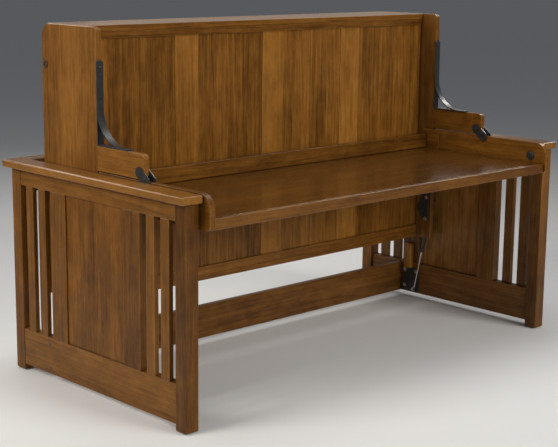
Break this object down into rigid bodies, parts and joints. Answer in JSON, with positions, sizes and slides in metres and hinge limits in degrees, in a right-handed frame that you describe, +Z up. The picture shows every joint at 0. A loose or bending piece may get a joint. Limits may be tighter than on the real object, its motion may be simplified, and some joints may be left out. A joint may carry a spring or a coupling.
{
  "type": "cabinet bed",
  "caption": "Horizontal desk bed: a single bed stored on its long edge between slatted side frames, with a desk hung on its front that lowers level as the bed tips down.",
  "frame": {"origin": "middle of the footprint of the whole object, on the floor", "axes": "+X to the right of someone sitting at the desk, +Y to the back where the stored bed stands, +Z up"},
  "size_m": [2.146, 1.147, 1.386],
  "materials": {
    "wood_frame": "warm brown stain under satin lacquer",
    "wood_panel": "warm brown stain under satin lacquer",
    "wood_top": "warm brown stain under satin lacquer",
    "black_steel": "black powder coat",
    "polished_rod": "polished",
    "glide": "moulded",
    "ticking": "woven ticking",
    "webbing": "woven strap"
  },
  "bodies": {
    "base": {"front_post_left": "wood_frame", "front_post_right": "wood_frame", "rear_post_left": "wood_frame", "rear_post_right": "wood_frame", "top_rail_left": "wood_frame", "top_rail_right": "wood_frame", "bottom_rail_left": "wood_frame", "bottom_rail_right": "wood_frame", "front_stile_left": "wood_frame", "front_stile_right": "wood_frame", "rear_stile_left": "wood_frame", "rear_stile_right": "wood_frame", "slats_left": "wood_frame", "slats_right": "wood_frame", "side_panel_left": "wood_panel", "side_panel_right": "wood_panel", "cap_left": "wood_top", "cap_right": "wood_top", "rear_cap": "wood_top", "rear_rail": "wood_frame", "low_stretcher": "wood_frame", "stretcher_bolts": "black_steel", "foot_glides": "glide", "pivot_plates": "black_steel", "gas_brackets": "black_steel", "corner_blocks": "wood_frame"},
    "bed": {"bed_side_left": "wood_frame", "bed_side_right": "wood_frame", "bed_top_board": "wood_frame", "bed_top_rail": "wood_frame", "bed_bottom_board": "wood_frame", "bed_bottom_rail": "wood_frame", "bed_panel_1": "wood_panel", "bed_panel_2": "wood_panel", "bed_panel_3": "wood_panel", "bed_panel_4": "wood_panel", "bed_narrow_1": "wood_frame", "bed_narrow_2": "wood_frame", "bed_narrow_3": "wood_frame", "mattress": "ticking", "mattress_straps": "webbing", "arm_board_left": "wood_frame", "arm_board_right": "wood_frame", "steel_arm_left": "black_steel", "steel_arm_right": "black_steel", "pivot_bolts": "black_steel", "inner_plates": "black_steel", "stop_plates": "black_steel"},
    "desk": {"desk_top": "wood_top", "desk_edge": "wood_top", "desk_side_left": "wood_frame", "desk_side_right": "wood_frame", "desk_back_rail": "wood_frame", "clamp_left": "black_steel", "clamp_right": "black_steel", "desk_bolts": "black_steel"},
    "gas_rod_l": {"gas_rod_left": "polished_rod"},
    "gas_rod_r": {"gas_rod_right": "polished_rod"},
    "gas_tube_l": {"gas_tube_left": "black_steel"},
    "gas_tube_r": {"gas_tube_right": "black_steel"}
  },
  "joints": [
    {"name": "bed_tilt", "type": "hinge", "parent": "base", "child": "bed", "pos_m": [0, 0.1185, 0.47], "axis": [1, 0, 0], "range_deg": [0, 90]},
    {"name": "desk_level", "type": "hinge", "parent": "bed", "child": "desk", "pos_m": [0, -0.1865, 0.882], "axis": [1, 0, 0], "range_deg": [-90, 0]},
    {"name": "gas_swing_left", "type": "hinge", "parent": "base", "child": "gas_rod_l", "pos_m": [-0.995, 0.1905, 0.05], "axis": [1, 0, 0], "range_deg": [0, 2.59]},
    {"name": "gas_stroke_left", "type": "slide", "parent": "gas_rod_l", "child": "gas_tube_l", "axis": [0, -0.2192, 0.9757], "range_m": [-0.0617, 0]},
    {"name": "gas_swing_right", "type": "hinge", "parent": "base", "child": "gas_rod_r", "pos_m": [0.995, 0.1905, 0.05], "axis": [1, 0, 0], "range_deg": [0, 2.59]},
    {"name": "gas_stroke_right", "type": "slide", "parent": "gas_rod_r", "child": "gas_tube_r", "axis": [0, -0.2192, 0.9757], "range_m": [-0.0617, 0]}
  ],
  "couplings": [
    {"joint": "desk_level", "follows": "bed_tilt", "ratio": -1},
    {"joint": "gas_swing_left", "follows": "bed_tilt", "ratio": 0.02826},
    {"joint": "gas_stroke_left", "follows": "bed_tilt", "m_per_rad": -0.03894},
    {"joint": "gas_swing_right", "follows": "bed_tilt", "ratio": 0.02826},
    {"joint": "gas_stroke_right", "follows": "bed_tilt", "m_per_rad": -0.03894}
  ]
}
